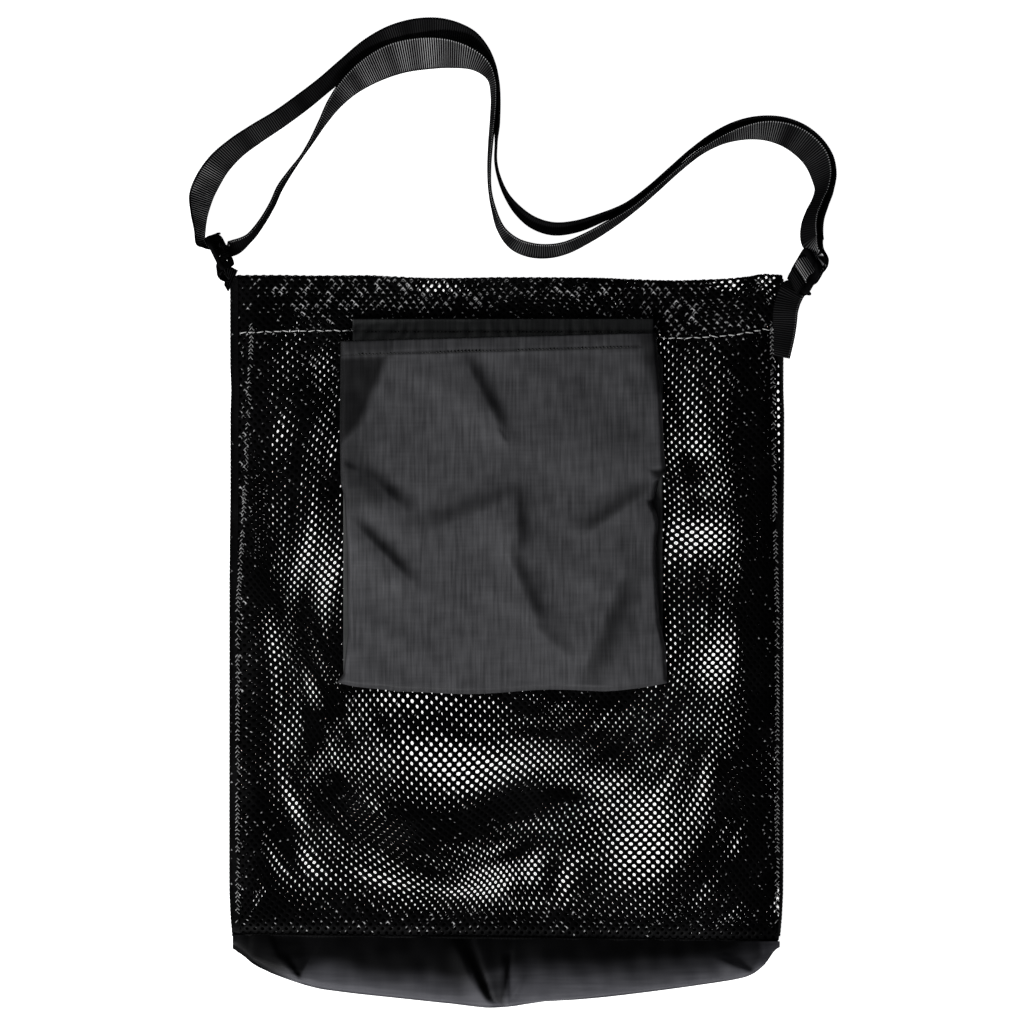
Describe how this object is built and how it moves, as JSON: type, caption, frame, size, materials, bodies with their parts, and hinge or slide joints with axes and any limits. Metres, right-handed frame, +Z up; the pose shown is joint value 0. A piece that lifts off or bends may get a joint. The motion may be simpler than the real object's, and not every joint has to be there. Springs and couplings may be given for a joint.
{
  "type": "mushroom foraging bag",
  "caption": "Flat net foraging bag with a woven base, a flat woven pocket on its front and a doubled webbing shoulder strap on plastic sliders, lying on its back.",
  "frame": {"origin": "middle of the bag on the underside of its back panel, where it lies on the floor", "axes": "+X across the bag to its right as seen from the front, +Y from its base to its mouth, +Z up, out of its front"},
  "size_m": [0.4684, 0.7154, 0.034],
  "materials": {
    "net": "knitted black net with round holes, slight sheen on the strands",
    "nylon": "dark grey coated woven nylon with a soft sheen",
    "webbing": "black ribbed webbing with a bright selvedge",
    "plastic": "black moulded plastic, satin"
  },
  "bodies": {
    "root": {"mesh_back": "net", "mesh_front": "net", "base_panel": "nylon", "pocket_back": "nylon", "pocket_front": "nylon", "shoulder_strap": "webbing", "strap_tab": "webbing", "strap_slider": "plastic", "strap_ladder": "plastic"}
  },
  "joints": []
}
